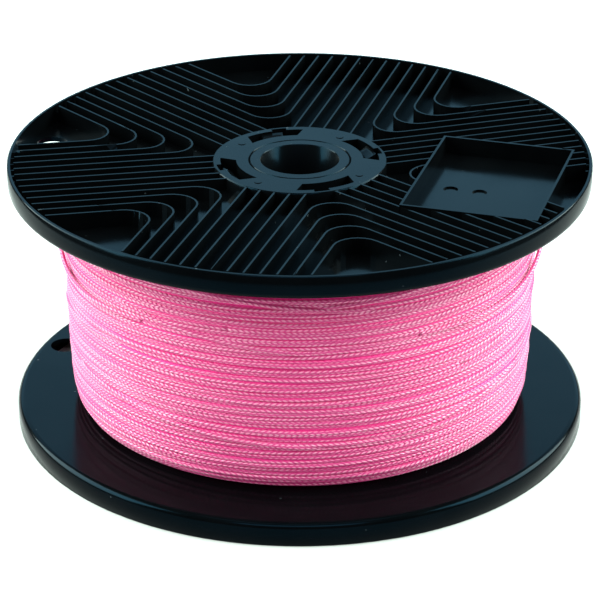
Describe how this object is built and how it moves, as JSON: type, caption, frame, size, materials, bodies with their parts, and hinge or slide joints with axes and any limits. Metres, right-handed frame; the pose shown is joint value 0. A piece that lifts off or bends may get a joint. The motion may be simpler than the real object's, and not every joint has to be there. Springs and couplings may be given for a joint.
{
  "type": "fishing line spool",
  "caption": "Wide ribbed plastic spool full of pink braided fishing line, with twist-lock flanges and a central bore.",
  "frame": {"origin": "centre of the lower flange's rim plane, on the spool's axis, where the spool stands", "axes": "+Z along the spool's axis, from the lower to the upper flange; +X from the axis through the middle of the label trays; the line-end holes are on -X"},
  "size_m": [0.22, 0.22, 0.106],
  "materials": {
    "flange_plastic": "injection-moulded black plastic with a cool satin gloss and faint moulding texture",
    "core_plastic": "injection-moulded black plastic, satin",
    "braided_line": "tightly braided pink polymer line, slightly shiny fibres"
  },
  "bodies": {
    "core": {"core_sleeve": "core_plastic", "winding_barrel": "core_plastic", "lower_latch_ring": "core_plastic", "upper_latch_ring": "core_plastic", "line_winding": "braided_line", "line_loose_turn": "braided_line"},
    "lower_flange": {"lower_flange": "flange_plastic"},
    "upper_flange": {"upper_flange": "flange_plastic"}
  },
  "joints": [
    {"name": "lower_flange_twist", "type": "hinge", "parent": "core", "child": "lower_flange", "pos_m": [0, 0, 0.0045], "axis": [0, 0, -1], "range_deg": [0, 11]},
    {"name": "upper_flange_twist", "type": "hinge", "parent": "core", "child": "upper_flange", "pos_m": [0, 0, 0.1015], "axis": [0, 0, 1], "range_deg": [0, 11]}
  ]
}
